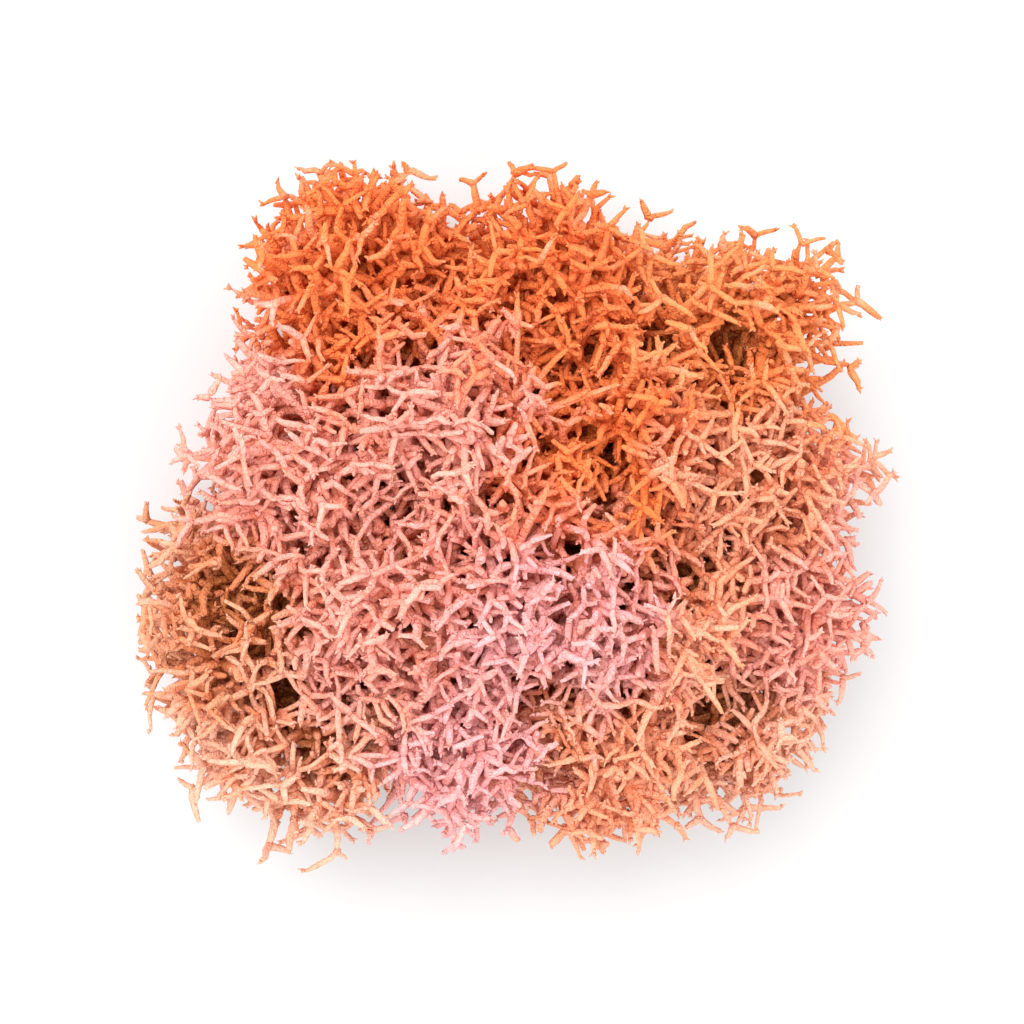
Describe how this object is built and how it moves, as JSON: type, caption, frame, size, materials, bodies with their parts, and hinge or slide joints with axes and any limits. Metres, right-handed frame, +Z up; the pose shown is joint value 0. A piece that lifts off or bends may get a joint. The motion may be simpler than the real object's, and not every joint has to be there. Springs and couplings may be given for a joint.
{
  "type": "reindeer moss clump",
  "caption": "Loose rounded cushion of dyed, preserved reindeer moss: separate many-forked lichen tufts that stand side by side on their cut stem feet.",
  "frame": {"origin": "middle of the clump's outline, on the surface that it stands on", "axes": "+X to the right and +Y to the back of the clump as seen from above, +Z up"},
  "size_m": [0.0846, 0.0782, 0.0454],
  "materials": {
    "orange": "matt, saturated orange dye",
    "apricot": "matt, apricot dye",
    "peach": "matt, light peach dye",
    "rose": "matt, rose pink dye",
    "lilac": "matt, lilac pink dye",
    "tan": "matt, brownish peach dye",
    "cream": "matt, pale cream, little dye"
  },
  "bodies": {
    "root": {"orange_tuft_back_left": "orange", "orange_tuft_back": "orange", "orange_tuft_middle": "orange", "apricot_tuft_back_right": "apricot", "peach_tuft_right": "peach", "peach_tuft_front": "peach", "peach_tuft_middle_right": "peach", "rose_tuft_left": "rose", "rose_tuft_middle_left": "rose", "rose_tuft_middle_front": "rose", "rose_tuft_right_front": "rose", "lilac_tuft_top": "lilac", "lilac_tuft_front": "lilac", "tan_tuft_left_front": "tan", "cream_tuft_front_left": "cream", "cream_tuft_front_corner": "cream"}
  },
  "joints": []
}
